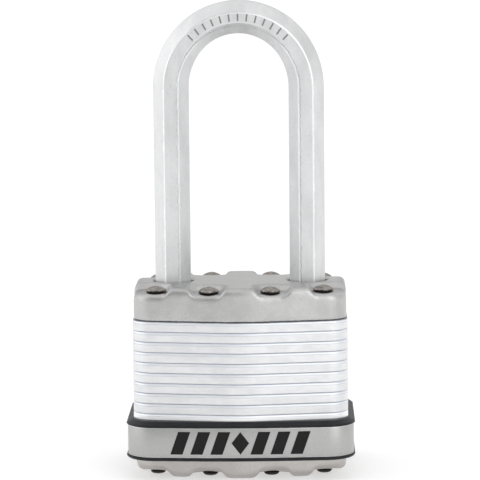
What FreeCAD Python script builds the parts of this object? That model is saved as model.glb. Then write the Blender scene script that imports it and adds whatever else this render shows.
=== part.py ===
"""Laminated steel padlock: octagonal shackle, two locking balls, four-pin cylinder.

Millimetres. Origin at the centre of the base, +Z up the shackle, the front faces -Y and
+X is to the right. The heel leg of the shackle is at -X and the toe leg at +X.
The stored state is unlatched and closed: the shackle is down, the pins stand at the shear
line, the cam is turned to its release side and the balls are drawn in.
"""

import FreeCAD
import Part

import math
import os

# Laminated body ------------------------------------------------------------------
PLATE_COUNT = 16
PLATE_PITCH = 2.127
PLATE_BASE = 2.86               # underside of the lowest plate
PLATE_HALF_WIDTH = 22.225
PLATE_HALF_DEPTH = 15.2         # at the ridge down the middle of the front and back
SIDE_FALL = 3.55                # how far the faces fall back from ridge to side
CORNER_RADIUS = 4.6
RIDGE_RADIUS = 25.0
PLATE_ROLL = 0.55               # rounding of each plate's upper edge
HIDDEN_PLATE_ROLL = 0.2

# Pressed covers ------------------------------------------------------------------
COVER_WALL = 1.0
COVER_EDGE = 1.4                # rounding between a cover's face and its skirt
TOP_HALF_WIDTH = 21.95
TOP_HALF_DEPTH = 15.05
TOP_RECESS = 38.3               # level the rivet heads sit on
TOP_PLATEAU = 39.6
BOTTOM_HALF_WIDTH = 21.8
BOTTOM_HALF_DEPTH = 14.8
BOTTOM_RECESS = 1.3
PLATES_IN_TOP = 2
PLATES_IN_BOTTOM = 1
RAMP_PER_HEIGHT = 0.8           # run of the plateau's sloping side for each mm of height
END_LOBE_HALF = 4.2
PLATEAU_MID_DEPTH = 7.3
MID_LOBE_HALF = 2.75
LEG_LOBE_INNER = 10.8
LEG_LOBE_OUTER = 14.0
LOBE_REACH = 18.0               # lobes run past the skirt, which trims them
END_LOBE_REACH = 25.0
LOBE_TIP_RADIUS = 0.1
CONCAVE_RADIUS = 2.9
CREST_RADIUS = 0.9              # rounding where a ramp meets the plateau
CREST_STEPS = 3

# Rivets --------------------------------------------------------------------------
OUTER_RIVET = (17.2, 9.2)
INNER_RIVET = (6.3, 11.3)
RIVET_RADIUS = 1.1
RIVET_HOLE = 1.13
RIVET_HEAD = (2.1, 1.4)         # radius and height of the heads over the top cover
RIVET_TAIL = (1.6, 0.9)         # the same for the closed ends under the bottom cover
RIVET_HEAD_ROUND = 0.55
RIVET_DIMPLE = 0.25

# Bumper and its band -------------------------------------------------------------
BUMPER_HALF_WIDTH = 23.65
BUMPER_HALF_DEPTH = 17.4
BUMPER_FALL = 1.6
BUMPER_CORNER = 6.2
BUMPER_RIDGE = 150.0
BUMPER_BOTTOM = 4.2
BUMPER_TOP = 12.3
LEDGE_OUTER = 11.5              # where the sloping top ledge meets the outer face
BAND_BOTTOM = 4.9
BAND_TOP = 11.2
BAND_RECESS = 0.7
BAND_THICKNESS = 0.4
BAND_SEAM = 0.3

# Shackle -------------------------------------------------------------------------
LEG_X = 14.0
BAR = 7.35                      # across the front and side flats
BAR_CHAMFER = 2.35
BAR_ROUND = 0.4
BOW_Z = 79.8                    # centre of the bow
BOW_RISE = 0.3                  # how far the crown's outside stands proud of a half circle
CROWN_THINNING = 0.5            # how much thinner the bar is at the crown than in the legs
BOW_STEPS = 18
OCTAGON_FOOT = 38.0             # the bar is round below this level
LEG_RADIUS = 3.95
LEG_BORE = 4.05
COVER_LEG_HOLE = 4.2
TOE_TIP = 25.0
TOE_ROUND = 1.2
SHACKLE_LIFT = 15.5
STOP_PIN_RADIUS = 0.8
STOP_PIN_HALF_LENGTH = 7.0
STOP_CLEARANCE = 0.05            # left between the pin and the shoulder at full lift
NECK_RADIUS = 2.6
NECK_TOP = 25.2
NECK_SHOULDER = 0.9
FOOT_LENGTH = 2.1
HEEL_DRILLING = 1.65
HEEL_DRILLING_TOP = 22.0

# Stamped strokes on the front of the bow ------------------------------------------
STROKE_COUNT = 13
STROKE_STEP = 7.2               # degrees
STROKE_LENGTH = 1.5
STROKE_WIDTH = 0.34
STROKE_DEPTH = 0.14

# Balls and cam -------------------------------------------------------------------
BALL_RADIUS = 3.1
BALL_BITE = 1.5                 # how far a locked ball stands into a leg
BALL_REST_GAP = 0.1             # from a drawn-in ball to the leg's bore
NOTCH_CLEARANCE = 0.2
CHANNEL_CLEARANCE = 0.05
CAM_CLEARANCE = 0.06
CAM_HEIGHT = 5.8
CAM_CHAMBER = 5.75
CAM_POST_RADIUS = 1.5
CAM_POST_TOP = 36.4
CAM_SPRING_CHAMBER = 3.0

# Cylinder ------------------------------------------------------------------------
PLUG_RADIUS = 5.0
PLUG_BORE = 5.05
PLUG_FACE = 0.5
PLUG_FLANGE_RADIUS = 5.45
PLUG_FLANGE = (1.4, 2.76)
SHELL_RADIUS = 7.0
HOUSING_CLEARANCE = 0.05
CHAMBER_HALF_WIDTH = 2.6
CHAMBER_REACH = 13.0
KEYWAY_HALF_HEIGHT = 3.8
KEYWAY_OFFSET = 0.3
KEYWAY_HALF_WIDTH = 0.75
KEYWAY_TOP = 20.6
PIN_FIRST_Z = 8.0
PIN_PITCH = 3.18
KEY_PIN_LENGTHS = (3.4, 2.6, 3.0, 3.8)
PIN_RADIUS = 1.3
PIN_HOLE = 1.35
PIN_SEAT = 0.3                  # depth of the plug's pin holes, measured from the axis
PIN_TIP = 0.7
DRIVER_START = 5.07
DRIVER_LENGTH = 3.4
CAP_THICKNESS = 0.8
CAP_HALF_WIDTH = 1.9
CAP_MARGIN = 2.2
TAIL_RADIUS = 1.9
TAIL_HOLE = 2.0
TONGUE_HALF_LENGTH = 2.5
TONGUE_HALF_WIDTH = 1.0
TONGUE_TOP = 29.2
TONGUE_CLEARANCE = 0.06

# Springs: mean radius, wire radius and turns -------------------------------------
SHACKLE_SPRING = (1.2, 0.25, 12)
PIN_SPRING = (0.95, 0.2, 4)
CAM_SPRING = (2.2, 0.28, 2.5)

# Worked-out levels and places ----------------------------------------------------
PLATE_TOP = PLATE_BASE + PLATE_COUNT * PLATE_PITCH
TOP_RIM = PLATE_TOP - PLATES_IN_TOP * PLATE_PITCH
BOTTOM_RIM = PLATE_BASE + PLATES_IN_BOTTOM * PLATE_PITCH
SHELL_TOP = PLATE_BASE + 9 * PLATE_PITCH
STOP_PIN_Z = SHELL_TOP + PLATE_PITCH
STOP_PIN_X = -(LEG_X - NECK_RADIUS - STOP_PIN_RADIUS - 0.1)
CAM_FLOOR = STOP_PIN_Z + PLATE_PITCH
BALL_Z = CAM_FLOOR + 1.5 * PLATE_PITCH
BALL_OUT_X = LEG_X - LEG_RADIUS + BALL_BITE - BALL_RADIUS
BALL_IN_X = LEG_X - LEG_BORE - BALL_REST_GAP - BALL_RADIUS
HEEL_SHOULDER = STOP_PIN_Z - STOP_PIN_RADIUS - STOP_CLEARANCE - SHACKLE_LIFT
HEEL_TIP = HEEL_SHOULDER - FOOT_LENGTH
PIN_LEVELS = [PIN_FIRST_Z + PIN_PITCH * i for i in range(len(KEY_PIN_LENGTHS))]
UP = FreeCAD.Vector(0, 0, 1)
BACK = FreeCAD.Vector(0, 1, 0)


def point(x, y, z=0.0):
    return FreeCAD.Vector(x, y, z)


def cylinder(radius, start, end):
    """Round bar from one point to another."""
    return Part.makeCylinder(radius, (end - start).Length, start, end - start)


def upright(radius, x, y, low, high):
    return cylinder(radius, point(x, y, low), point(x, y, high))


def box(low, high):
    size = high - low
    return Part.makeBox(size.x, size.y, size.z, low)


def rounded_wire(corners, z):
    """Closed wire through (x, y, radius) corners, each turned by a tangent arc."""
    edges = []
    starts = []
    ends = []
    middles = []
    count = len(corners)
    for i, (x, y, radius) in enumerate(corners):
        here = point(x, y, z)
        before = point(*corners[i - 1][:2], z) - here
        after = point(*corners[(i + 1) % count][:2], z) - here
        before.normalize()
        after.normalize()
        half_opening = before.getAngle(after) / 2
        inward = before + after
        inward.normalize()
        trim = radius / math.tan(half_opening)
        starts.append(here + before * trim)
        ends.append(here + after * trim)
        middles.append(here + inward * (radius / math.sin(half_opening) - radius))
    for i in range(count):
        edges.append(Part.Arc(starts[i], middles[i], ends[i]).toShape())
        edges.append(Part.LineSegment(ends[i], starts[(i + 1) % count]).toShape())
    return Part.Wire(edges)


def prism(corners, low, high):
    """Upright prism on a rounded outline."""
    return Part.Face(rounded_wire(corners, low)).extrude(point(0, 0, high - low))


def level_edges(shape, z):
    """Edges of a shape that lie wholly in one horizontal plane."""
    near = 1e-4
    return [e for e in shape.Edges if abs(e.BoundBox.ZMin - z) < near and abs(e.BoundBox.ZMax - z) < near]


def body_outline(half_width, half_depth, fall=SIDE_FALL, corner=CORNER_RADIUS, ridge=RIDGE_RADIUS):
    """Plan view of the body: front and back rise to a blunt ridge at the middle."""
    side = half_depth - fall
    return [
        (half_width, -side, corner),
        (half_width, side, corner),
        (0, half_depth, ridge),
        (-half_width, side, corner),
        (-half_width, -side, corner),
        (0, -half_depth, ridge),
    ]


def plateau_outline(grow):
    """Plan view of a cover's raised middle, with a lobe between each pair of rivets."""
    tip = LOBE_TIP_RADIUS
    concave = CONCAVE_RADIUS - grow
    quarter = [
        (END_LOBE_REACH, END_LOBE_HALF + grow, tip),
        (LEG_LOBE_OUTER + grow, END_LOBE_HALF + grow, concave),
        (LEG_LOBE_OUTER + grow, LOBE_REACH, tip),
        (LEG_LOBE_INNER - grow, LOBE_REACH, tip),
        (LEG_LOBE_INNER - grow, PLATEAU_MID_DEPTH + grow, concave),
        (MID_LOBE_HALF + grow, PLATEAU_MID_DEPTH + grow, concave),
        (MID_LOBE_HALF + grow, LOBE_REACH, tip),
    ]
    back_left = [(-x, y, r) for x, y, r in reversed(quarter)]
    front_left = [(-x, -y, r) for x, y, r in quarter]
    front_right = [(x, -y, r) for x, y, r in reversed(quarter)]
    return quarter + back_left + front_left + front_right


def inside_outline(half_width, half_depth):
    """Plan view of the room inside a cover's skirt."""
    wall = COVER_WALL
    return body_outline(half_width - wall, half_depth - wall, corner=CORNER_RADIUS - wall)


def ramp_profile(drop):
    """(outward, downward) points of a ramp: its rounded crest, then straight down to a drop."""
    lean = math.atan(1 / RAMP_PER_HEIGHT)
    lead = CREST_RADIUS * math.tan(lean / 2)
    turns = [lean * i / CREST_STEPS for i in range(CREST_STEPS + 1)]
    crest = [(CREST_RADIUS * math.sin(turn) - lead, CREST_RADIUS * (1 - math.cos(turn))) for turn in turns]
    return crest + [(RAMP_PER_HEIGHT * drop, drop)]


def plateau_block(recess, plateau):
    """The plateau with its sloping sides, carried on below the recess level."""
    profile = ramp_profile(plateau - recess + COVER_EDGE)
    wires = [rounded_wire(plateau_outline(out), plateau - down) for out, down in reversed(profile)]
    return Part.makeLoft(wires, True, True)


def cover_form(half_width, half_depth, recess, plateau):
    """Outside of a cover with its rim at z = 0 and its face upward."""
    outline = body_outline(half_width, half_depth)
    low = prism(outline, 0, recess)
    low = low.makeFillet(COVER_EDGE, level_edges(low, recess))
    high = prism(outline, 0, plateau)
    high = high.makeFillet(COVER_EDGE, level_edges(high, plateau))
    form = low.fuse(high.common(plateau_block(recess, plateau))).removeSplitter()
    return form


def pressed_cover(half_width, half_depth, recess, plateau, ledge):
    """Cover pressed from sheet: open below, and hollow under its plateau."""
    form = cover_form(half_width, half_depth, recess, plateau)
    inside = inside_outline(half_width, half_depth)
    room = prism(inside, 0, ledge)
    inset = 0.4
    hollow = prism(inside, ledge, plateau - COVER_WALL)
    hollow = hollow.common(prism(plateau_outline(-inset), ledge, plateau - COVER_WALL))
    return form.cut(room.fuse(hollow))


def rivet_places():
    """The eight rivets, two outer and two inner pairs along the front and the back."""
    return [(sx * x, sy * y) for x, y in (OUTER_RIVET, INNER_RIVET) for sx in (-1, 1) for sy in (-1, 1)]


def rivet_holes():
    return [upright(RIVET_HOLE, x, y, BOTTOM_RECESS - 2, TOP_PLATEAU + 2) for x, y in rivet_places()]


def rivet_head(x, y, seat, size, way):
    """Button head with a small centre mark, standing up (way 1) or down (way -1)."""
    radius, height = size
    tip = seat + way * height
    head = upright(radius, x, y, min(seat, tip), max(seat, tip))
    head = head.makeFillet(RIVET_HEAD_ROUND, level_edges(head, tip))
    mark = Part.makeSphere(RIVET_DIMPLE, point(x, y, tip))
    return head.cut(mark)


def rivets():
    """Eight rivets through the whole stack, headed over both covers."""
    solids = []
    for x, y in rivet_places():
        shank = upright(RIVET_RADIUS, x, y, BOTTOM_RECESS, TOP_RECESS)
        top = rivet_head(x, y, TOP_RECESS, RIVET_HEAD, 1)
        bottom = rivet_head(x, y, BOTTOM_RECESS, RIVET_TAIL, -1)
        solids.append(shank.fuse([top, bottom]).removeSplitter())
    return Part.makeCompound(solids)


def top_cover():
    rim = TOP_RIM
    levels = TOP_RECESS - rim, TOP_PLATEAU - rim, PLATE_TOP - rim
    cover = pressed_cover(TOP_HALF_WIDTH, TOP_HALF_DEPTH, *levels)
    cover.translate(point(0, 0, rim))
    legs = [upright(COVER_LEG_HOLE, x, 0, PLATE_TOP - 1, TOP_PLATEAU + 1) for x in (-LEG_X, LEG_X)]
    return cover.cut(legs + rivet_holes())


def bottom_cover():
    rim = BOTTOM_RIM
    cover = pressed_cover(BOTTOM_HALF_WIDTH, BOTTOM_HALF_DEPTH, rim - BOTTOM_RECESS, rim, rim - PLATE_BASE)
    cover = cover.mirror(point(0, 0, 0), UP)
    cover.translate(point(0, 0, rim))
    plug_hole = upright(PLUG_BORE + HOUSING_CLEARANCE, 0, 0, -1, PLATE_BASE)
    return cover.cut([plug_hole] + rivet_holes())


def cylinder_room():
    """Where the cylinder stands: round, with a slot behind for the pin chambers."""
    gap = HOUSING_CLEARANCE
    round_part = upright(SHELL_RADIUS + gap, 0, 0, BOTTOM_RIM, SHELL_TOP)
    half = CHAMBER_HALF_WIDTH + gap
    slot = box(point(-half, 0, BOTTOM_RIM), point(half, CHAMBER_REACH + gap, SHELL_TOP))
    plug_way = upright(PLUG_BORE + gap, 0, 0, PLATE_BASE, BOTTOM_RIM)
    return round_part.fuse([slot, plug_way])


def ball_room():
    """Cam chamber with a channel across it to both shackle bores."""
    half = BALL_RADIUS + CHANNEL_CLEARANCE
    chamber = upright(CAM_CHAMBER, 0, 0, CAM_FLOOR, TOP_RIM)
    channel = box(point(-LEG_X, -half, CAM_FLOOR), point(LEG_X, half, TOP_RIM))
    return chamber.fuse(channel)


def body_rooms():
    """Every hole and room that is cut through the stack of plates."""
    spring_floor = TOP_RIM
    spring_roof = TOP_RIM + PLATE_PITCH
    return [
        upright(LEG_BORE, -LEG_X, 0, BOTTOM_RIM, PLATE_TOP),
        upright(LEG_BORE, LEG_X, 0, STOP_PIN_Z, PLATE_TOP),
        cylinder_room(),
        upright(TAIL_HOLE, 0, 0, SHELL_TOP, CAM_FLOOR),
        ball_room(),
        upright(CAM_SPRING_CHAMBER, 0, 0, spring_floor, spring_roof),
        upright(CAM_POST_RADIUS + HOUSING_CLEARANCE, 0, 0, spring_roof, PLATE_TOP),
        heel_stop_pin(),
    ] + rivet_holes()


def plate(index, rooms):
    """One lamination; those inside a cover's skirt are smaller all round."""
    low = PLATE_BASE + PLATE_PITCH * index
    high = low + PLATE_PITCH
    roll = HIDDEN_PLATE_ROLL
    if index < PLATES_IN_BOTTOM:
        outline = inside_outline(BOTTOM_HALF_WIDTH, BOTTOM_HALF_DEPTH)
    elif index >= PLATE_COUNT - PLATES_IN_TOP:
        outline = inside_outline(TOP_HALF_WIDTH, TOP_HALF_DEPTH)
    else:
        outline = body_outline(PLATE_HALF_WIDTH, PLATE_HALF_DEPTH)
        roll = PLATE_ROLL
    slab = prism(outline, low, high)
    slab = slab.makeFillet(roll, level_edges(slab, high))
    met = [room for room in rooms if room.BoundBox.ZMin < high - 0.01 and room.BoundBox.ZMax > low + 0.01]
    return slab.cut(met)


def bumper_outline(inset):
    """Plan view of the bumper, drawn in evenly by an inset."""
    return body_outline(BUMPER_HALF_WIDTH - inset, BUMPER_HALF_DEPTH - inset, BUMPER_FALL,
                        BUMPER_CORNER - inset, BUMPER_RIDGE)


def bumper():
    """Soft ring round the lower body, with a sloping ledge on top and a groove for the band."""
    edge = 0.35
    block = prism(bumper_outline(0), BUMPER_BOTTOM, LEDGE_OUTER)
    block = block.makeChamfer(edge, level_edges(block, BUMPER_BOTTOM))
    side_run = BUMPER_HALF_WIDTH - PLATE_HALF_WIDTH
    foot = rounded_wire(bumper_outline(0), LEDGE_OUTER)
    crest = rounded_wire(bumper_outline(side_run), BUMPER_TOP)
    block = block.fuse(Part.makeLoft([foot, crest], True, True)).removeSplitter()
    groove = prism(bumper_outline(-1), BAND_BOTTOM, BAND_TOP)
    groove = groove.cut(prism(bumper_outline(BAND_RECESS), BAND_BOTTOM, BAND_TOP))
    body_hole = prism(body_outline(PLATE_HALF_WIDTH, PLATE_HALF_DEPTH), BOTTOM_RIM, BUMPER_TOP)
    cover_hole = prism(body_outline(BOTTOM_HALF_WIDTH, BOTTOM_HALF_DEPTH), BUMPER_BOTTOM, BOTTOM_RIM)
    return block.cut([groove, body_hole, cover_hole])


def band():
    """Metal strip wrapped round the bumper's groove, its ends meeting at the back."""
    outer = prism(bumper_outline(BAND_RECESS - BAND_THICKNESS), BAND_BOTTOM, BAND_TOP)
    inner = prism(bumper_outline(BAND_RECESS), BAND_BOTTOM, BAND_TOP)
    half = BAND_SEAM / 2
    seam = box(point(-half, 0, BAND_BOTTOM), point(half, BUMPER_HALF_DEPTH, BAND_TOP))
    return outer.cut([inner, seam])


def bar_outline(width):
    """Section of the shackle bar: a square with wide chamfers, its edges just broken."""
    half = width / 2
    half_depth = BAR / 2
    quarter = [
        (half, half_depth - BAR_CHAMFER, BAR_ROUND),
        (half - BAR_CHAMFER, half_depth, BAR_ROUND),
    ]
    back_left = [(-x, y, r) for x, y, r in reversed(quarter)]
    front_left = [(-x, -y, r) for x, y, r in quarter]
    front_right = [(x, -y, r) for x, y, r in reversed(quarter)]
    return quarter + back_left + front_left + front_right


def bow_radius(angle):
    """Distance from the bow's centre to the middle of the bar, which grows towards the crown."""
    return LEG_X + (BOW_RISE + CROWN_THINNING / 2) * math.sin(angle) ** 2


def bow_section(angle):
    """The bar's section at an angle round the bow, thinned on its inside near the crown."""
    section = rounded_wire(bar_outline(BAR - CROWN_THINNING * math.sin(angle) ** 2), 0)
    section.translate(point(bow_radius(angle), 0, 0))
    section.rotate(point(0, 0, 0), point(0, -1, 0), math.degrees(angle))
    section.translate(point(0, 0, BOW_Z))
    return section


def shackle_bow():
    """The faceted bar from one leg over to the other."""
    return Part.makeLoft([bow_section(math.pi * i / BOW_STEPS) for i in range(BOW_STEPS + 1)], True, False)


def stamped_strokes():
    """A row of short radial strokes sunk into the front of the bow."""
    strokes = []
    for i in range(STROKE_COUNT):
        turn = STROKE_STEP * (i - (STROKE_COUNT - 1) / 2)
        middle = bow_radius(math.radians(90 + turn))
        low = point(-STROKE_WIDTH / 2, -BAR, middle - STROKE_LENGTH / 2)
        high = point(STROKE_WIDTH / 2, STROKE_DEPTH - BAR / 2, middle + STROKE_LENGTH / 2)
        stroke = box(low, high)
        stroke.rotate(point(0, 0, 0), point(0, -1, 0), turn)
        stroke.translate(point(0, 0, BOW_Z))
        strokes.append(stroke)
    return strokes


def shackle_leg(x, tip):
    """One leg: faceted above the body and round inside it."""
    faceted = prism(bar_outline(BAR), OCTAGON_FOOT, BOW_Z)
    faceted.translate(point(x, 0, 0))
    return faceted.fuse(upright(LEG_RADIUS, x, 0, tip, OCTAGON_FOOT))


def ball_notch(x):
    return Part.makeSphere(BALL_RADIUS + NOTCH_CLEARANCE, point(x, 0, BALL_Z))


def heel_cut():
    """What is turned off the heel leg to leave its neck, and its spring drilling."""
    ring = upright(LEG_RADIUS + 1, -LEG_X, 0, HEEL_SHOULDER, NECK_TOP + NECK_SHOULDER)
    neck = upright(NECK_RADIUS, -LEG_X, 0, HEEL_SHOULDER, NECK_TOP)
    base = point(-LEG_X, 0, NECK_TOP)
    cone = Part.makeCone(NECK_RADIUS, LEG_RADIUS, NECK_SHOULDER, base, UP)
    drilling = upright(HEEL_DRILLING, -LEG_X, 0, HEEL_TIP, HEEL_DRILLING_TOP)
    return [ring.cut([neck, cone]), drilling]


def shackle():
    heel = shackle_leg(-LEG_X, HEEL_TIP).cut(heel_cut() + [ball_notch(-BALL_OUT_X)])
    toe = shackle_leg(LEG_X, TOE_TIP)
    toe = toe.makeFillet(TOE_ROUND, level_edges(toe, TOE_TIP)).cut(ball_notch(BALL_OUT_X))
    return heel.fuse([toe, shackle_bow()]).removeSplitter().cut(stamped_strokes())


def heel_stop_pin():
    """Cross pin beside the heel leg's neck: the foot meets it when the shackle is up."""
    half = STOP_PIN_HALF_LENGTH
    ends = [point(STOP_PIN_X, y, STOP_PIN_Z) for y in (-half, half)]
    return cylinder(STOP_PIN_RADIUS, *ends)


def ball(x):
    return Part.makeSphere(BALL_RADIUS, point(x, 0, BALL_Z))


def cam_quarter(start, steps=6):
    """A quarter of the cam's rim, which falls evenly with angle from a lobe to a waist."""
    lobe = BALL_OUT_X - BALL_RADIUS - CAM_CLEARANCE
    waist = BALL_IN_X - BALL_RADIUS - CAM_CLEARANCE
    rim = []
    for i in range(steps + 1):
        share = i / steps
        toward_lobe = share if start in (0, 2) else 1 - share
        radius = waist + (lobe - waist) * toward_lobe
        angle = (start + share) * math.pi / 2
        rim.append(point(radius * math.cos(angle), radius * math.sin(angle)))
    curve = Part.BSplineCurve()
    curve.interpolate(rim)
    return curve.toShape()


def tongue_room(low, high):
    """Bow-tie recess that lets the plug's tongue turn a quarter turn before it drives."""
    gap = TONGUE_CLEARANCE
    reach = TONGUE_HALF_LENGTH + 2 * gap
    edge = TONGUE_HALF_WIDTH + gap
    room = upright(reach, 0, 0, low, high)
    stops = [
        box(point(-2 * reach, edge, low), point(-edge, 2 * reach, high)),
        box(point(edge, -2 * reach, low), point(2 * reach, -edge, high)),
    ]
    return room.cut(stops)


def cam():
    """Two-lobed cam between the balls, with a pivot post above and the recess below."""
    low = BALL_Z - CAM_HEIGHT / 2
    rim = Part.Wire([cam_quarter(i) for i in range(4)])
    disc = Part.Face(rim).extrude(point(0, 0, CAM_HEIGHT))
    disc.translate(point(0, 0, low))
    post = upright(CAM_POST_RADIUS, 0, 0, low + CAM_HEIGHT, CAM_POST_TOP)
    return disc.fuse(post).cut(tongue_room(low, TONGUE_TOP + 0.1))


def pin_holes(start, end):
    return [cylinder(PIN_HOLE, point(0, start, z), point(0, end, z)) for z in PIN_LEVELS]


def keyway():
    """Stepped slot up the plug, open at its face."""
    half = KEYWAY_HALF_WIDTH
    rise = KEYWAY_HALF_HEIGHT
    lap = 0.3
    front = box(point(-KEYWAY_OFFSET - half, -rise, PLUG_FACE), point(half - KEYWAY_OFFSET, lap, KEYWAY_TOP))
    back = box(point(KEYWAY_OFFSET - half, -lap, PLUG_FACE), point(KEYWAY_OFFSET + half, rise, KEYWAY_TOP))
    return front.fuse(back)


def plug():
    """Turning core of the cylinder, with its keyway, pin holes and drive tongue."""
    flange_low, flange_high = PLUG_FLANGE
    tongue_low = BALL_Z - CAM_HEIGHT / 2
    length = TONGUE_HALF_LENGTH
    width = TONGUE_HALF_WIDTH
    tongue = box(point(-length, -width, tongue_low), point(length, width, TONGUE_TOP))
    tongue = tongue.common(upright(TONGUE_HALF_LENGTH, 0, 0, tongue_low, TONGUE_TOP))
    core = upright(PLUG_RADIUS, 0, 0, PLUG_FACE, SHELL_TOP - HOUSING_CLEARANCE)
    flange = upright(PLUG_FLANGE_RADIUS, 0, 0, flange_low, flange_high)
    tail = upright(TAIL_RADIUS, 0, 0, SHELL_TOP - HOUSING_CLEARANCE, tongue_low)
    return core.fuse([flange, tail, tongue]).cut([keyway()] + pin_holes(PIN_SEAT, PLUG_RADIUS + 1))


def cap_box(grow):
    """Strip that closes the outer ends of the pin chambers."""
    half = CAP_HALF_WIDTH + grow
    low = PIN_LEVELS[0] - CAP_MARGIN - grow
    high = PIN_LEVELS[-1] + CAP_MARGIN + grow
    return box(point(-half, CHAMBER_REACH - CAP_THICKNESS, low), point(half, CHAMBER_REACH, high))


def cylinder_shell():
    """Fixed part of the cylinder: a bore for the plug and four pin chambers behind it."""
    round_part = upright(SHELL_RADIUS, 0, 0, BOTTOM_RIM, SHELL_TOP)
    half = CHAMBER_HALF_WIDTH
    tower = box(point(-half, 0, BOTTOM_RIM), point(half, CHAMBER_REACH, SHELL_TOP))
    bore = upright(PLUG_BORE, 0, 0, BOTTOM_RIM, SHELL_TOP)
    return round_part.fuse(tower).cut([bore, cap_box(0.02)] + pin_holes(0, CHAMBER_REACH))


def chamber_cap():
    return cap_box(0)


def key_pin(index):
    """Pin in the plug: pointed towards the key, domed to the plug's surface."""
    z = PIN_LEVELS[index]
    dome = PLUG_RADIUS - 0.03
    tip = dome - KEY_PIN_LENGTHS[index]
    shank = cylinder(PIN_RADIUS, point(0, tip + PIN_TIP, z), point(0, PLUG_RADIUS, z))
    shank = shank.common(Part.makeSphere(dome, point(0, 0, z)))
    return shank.fuse(Part.makeCone(0.4, PIN_RADIUS, PIN_TIP, point(0, tip, z), BACK)).removeSplitter()


def driver_pin(index):
    """Pin in the shell, resting on the key pin."""
    z = PIN_LEVELS[index]
    body = cylinder(PIN_RADIUS, point(0, DRIVER_START, z), point(0, DRIVER_START + DRIVER_LENGTH, z))
    break_edge = 0.15
    return body.makeChamfer(break_edge, body.Edges)


def coil(radius, wire, turns, length):
    """Helical spring standing on z = 0, wound about the Z axis."""
    travel = length - 2 * wire
    helix = Part.makeHelix(travel / turns, travel, radius)
    section = Part.Wire([Part.Circle(point(radius, 0, 0), BACK, wire).toShape()])
    spring = Part.Wire(helix.Edges).makePipeShell([section], True, True)
    spring.translate(point(0, 0, wire))
    return spring


def shackle_spring():
    """Compression spring from the lowest plate up the drilling in the heel leg."""
    gap = 0.05
    spring = coil(*SHACKLE_SPRING, HEEL_DRILLING_TOP - BOTTOM_RIM - 2 * gap)
    spring.translate(point(-LEG_X, 0, BOTTOM_RIM + gap))
    return spring


def pin_spring(index):
    """Spring between a driver pin and the chamber cap."""
    gap = 0.04
    start = DRIVER_START + DRIVER_LENGTH + gap
    spring = coil(*PIN_SPRING, CHAMBER_REACH - CAP_THICKNESS - gap - start)
    spring.rotate(point(0, 0, 0), point(1, 0, 0), -90)
    spring.translate(point(0, start, PIN_LEVELS[index]))
    return spring


def cam_spring():
    """Torsion spring round the cam's post."""
    gap = 0.1
    spring = coil(*CAM_SPRING, PLATE_PITCH - 2 * gap)
    spring.translate(point(0, 0, TOP_RIM + gap))
    return spring


def build():
    """Every node of the padlock by name."""
    rooms = body_rooms()
    nodes = {
        "shackle": shackle(),
        "top_cover": top_cover(),
        "bottom_cover": bottom_cover(),
        "rivets": rivets(),
        "bumper": bumper(),
        "band": band(),
        "heel_stop_pin": heel_stop_pin(),
        "cylinder_shell": cylinder_shell(),
        "chamber_cap": chamber_cap(),
        "plug": plug(),
        "cam": cam(),
        "ball_heel": ball(-BALL_IN_X),
        "ball_toe": ball(BALL_IN_X),
        "shackle_spring": shackle_spring(),
        "cam_spring": cam_spring(),
    }
    for index in range(PLATE_COUNT):
        nodes[f"plate_{index + 1:02d}"] = plate(index, rooms)
    for index in range(len(PIN_LEVELS)):
        nodes[f"key_pin_{index + 1}"] = key_pin(index)
        nodes[f"driver_pin_{index + 1}"] = driver_pin(index)
        nodes[f"pin_spring_{index + 1}"] = pin_spring(index)
    return nodes


os.makedirs("parts", exist_ok=True)
for name, shape in build().items():
    shape.exportStep(f"parts/{name}.step")
    print(f"{name}: {shape.Volume:.2f} mm3, valid {shape.isValid()}, solids {len(shape.Solids)}")
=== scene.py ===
"""Looks of a laminated padlock: finishes, softened pressings, rivets and the studio."""

import logging
import math
from dataclasses import dataclass, field
from enum import Enum

import bpy
from mathutils import Matrix, Vector


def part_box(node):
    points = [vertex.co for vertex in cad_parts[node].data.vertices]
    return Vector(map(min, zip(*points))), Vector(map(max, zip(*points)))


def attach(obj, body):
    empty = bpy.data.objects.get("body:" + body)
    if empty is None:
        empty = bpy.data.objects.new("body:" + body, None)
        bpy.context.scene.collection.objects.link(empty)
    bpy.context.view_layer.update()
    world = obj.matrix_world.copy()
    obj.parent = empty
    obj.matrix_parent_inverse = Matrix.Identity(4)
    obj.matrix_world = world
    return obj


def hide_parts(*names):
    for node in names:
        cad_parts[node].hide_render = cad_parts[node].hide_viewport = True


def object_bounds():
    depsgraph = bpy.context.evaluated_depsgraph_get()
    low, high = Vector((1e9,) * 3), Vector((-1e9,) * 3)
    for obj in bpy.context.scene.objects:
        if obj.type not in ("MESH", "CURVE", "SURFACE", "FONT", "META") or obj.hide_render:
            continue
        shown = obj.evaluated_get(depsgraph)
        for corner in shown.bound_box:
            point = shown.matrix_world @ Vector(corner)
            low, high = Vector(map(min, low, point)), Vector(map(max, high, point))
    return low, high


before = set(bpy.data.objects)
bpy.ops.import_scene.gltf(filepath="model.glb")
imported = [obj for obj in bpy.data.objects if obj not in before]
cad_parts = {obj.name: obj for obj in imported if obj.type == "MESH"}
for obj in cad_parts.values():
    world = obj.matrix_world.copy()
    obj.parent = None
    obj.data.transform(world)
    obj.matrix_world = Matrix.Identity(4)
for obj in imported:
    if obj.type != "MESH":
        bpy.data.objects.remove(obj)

LOG = logging.getLogger("padlock")
CAD_BOX = [list(corner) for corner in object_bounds()]
MM = 0.001
Triple = tuple[float, float, float]
Socket = bpy.types.NodeSocket
NOISE = (0.3, 0.7)
NOISE_CORE = (0.35, 0.65)


class Slot(Enum):
    """Material slots of the record; nothing in this script uses them."""

    COVER = "cover_steel"
    RIVET = "rivet_steel"
    BUMPER = "bumper_plastic"
    BAND = "band_steel"


# Node graphs ---------------------------------------------------------------------


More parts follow.
